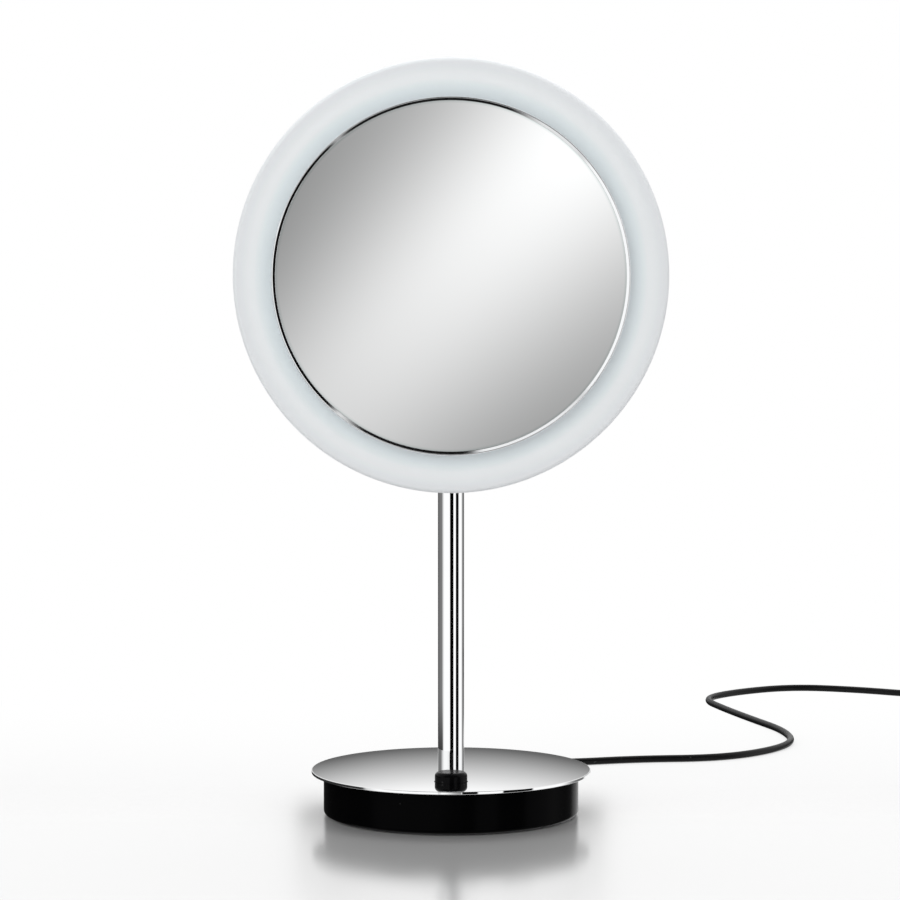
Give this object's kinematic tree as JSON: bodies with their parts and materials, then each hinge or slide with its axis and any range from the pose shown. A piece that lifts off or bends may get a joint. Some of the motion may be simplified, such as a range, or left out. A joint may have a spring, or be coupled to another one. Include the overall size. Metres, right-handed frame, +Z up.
{
  "type": "lighted vanity mirror",
  "caption": "Round concave cosmetic mirror in a satin light ring, tilting and swivelling on a chrome post, with a weighted round base, a push button and a lead with a plug-in power supply.",
  "frame": {"origin": "centre of the round base on the table, on the post's axis", "axes": "+Z up along the post, the mirror faces -Y, +X to the right of someone looking into it"},
  "size_m": [0.5771, 0.5131, 0.3765],
  "materials": {
    "silvered_glass": "polished, silvered behind",
    "bezel_chrome": "polished",
    "cover_chrome": "polished, spun",
    "plate_chrome": "mirror polished",
    "post_chrome": "mirror polished",
    "neck_chrome": "polished",
    "satin_acrylic": "satin opal",
    "black_lacquer": "high gloss",
    "black_moulding": "fine texture",
    "foot_rubber": "matt",
    "seal_foam": "closed-cell foam",
    "relief_rubber": "satin",
    "cord_black": "satin sheath",
    "tie_black": "hook and loop",
    "button_black": "gloss",
    "switch_black": "moulded",
    "spring_steel": "drawn wire",
    "cast_aluminium": "cast, machined faces",
    "spun_aluminium": "spun",
    "satin_steel": "satin",
    "zinc_steel": "zinc plated",
    "bush_brass": "turned",
    "nylon_white": "moulded",
    "ballast_iron": "painted",
    "board_green": "solder mask",
    "component_black": "moulded",
    "strip_white": "flexible film",
    "lamp_chip": "phosphor",
    "lead_white": "sheath",
    "supply_black": "fine texture",
    "pin_nickel": "nickel plated",
    "sleeve_black": "moulded",
    "screw_steel": "zinc plated",
    "screw_chrome": "polished",
    "screw_black": "blackened"
  },
  "bodies": {
    "base": {"ballast_ring": "ballast_iron", "base_drum": "black_lacquer", "base_lead": "cord_black", "base_plate": "plate_chrome", "board_parts": "component_black", "board_screws": "screw_steel", "bottom_cover": "black_moulding", "bottom_screws": "screw_black", "button_spring": "spring_steel", "clamp_screws": "screw_steel", "coil_ties": "tie_black", "cord_clamp": "black_moulding", "cord_coil": "cord_black", "cord_tail": "cord_black", "driver_board": "board_green", "foot_ring": "foot_rubber", "pin_sleeves": "sleeve_black", "post_lead": "lead_white", "post_stud": "zinc_steel", "post_tube": "post_chrome", "power_cord": "cord_black", "strain_relief": "relief_rubber", "stud_nut": "zinc_steel", "stud_washer": "zinc_steel", "supply_board": "board_green", "supply_cover": "supply_black", "supply_housing": "supply_black", "supply_nose": "supply_black", "supply_pins": "pin_nickel", "supply_relief": "relief_rubber", "switch_body": "switch_black", "swivel_bush": "bush_brass", "swivel_washer": "nylon_white"},
    "neck": {"swivel_fork": "neck_chrome", "tilt_washers": "nylon_white", "tilt_bolt": "neck_chrome", "tilt_nut": "neck_chrome", "retaining_clip": "spring_steel"},
    "head": {"mirror_glass": "silvered_glass", "mirror_bezel": "bezel_chrome", "rim_seal": "seal_foam", "mirror_tape": "seal_foam", "mirror_carrier": "spun_aluminium", "light_ring": "satin_acrylic", "ring_gasket": "seal_foam", "hub_housing": "cast_aluminium", "carrier_spacers": "spun_aluminium", "carrier_screws": "screw_steel", "led_strip": "strip_white", "led_chips": "lamp_chip", "rear_cover": "cover_chrome", "cover_screws": "screw_chrome", "tilt_knuckle": "satin_steel", "knuckle_screws": "screw_steel", "head_lead": "lead_white"},
    "button": {"push_button": "button_black", "switch_plunger": "switch_black"}
  },
  "joints": [
    {"name": "head_swivel", "type": "hinge", "parent": "base", "child": "neck", "pos_m": [0, 0, 0.2705], "axis": [0, 0, 1], "range_deg": [-160, 160]},
    {"name": "head_tilt", "type": "hinge", "parent": "neck", "child": "head", "pos_m": [0, 0, 0.2705], "axis": [-1, 0, 0], "range_deg": [-10, 45]},
    {"name": "button_press", "type": "slide", "parent": "base", "child": "button", "axis": [0, 0, -1], "range_m": [0, 0.0012], "stiffness_N_per_m": 500, "springref_m": -0.002, "deforming": ["button_spring"]}
  ]
}
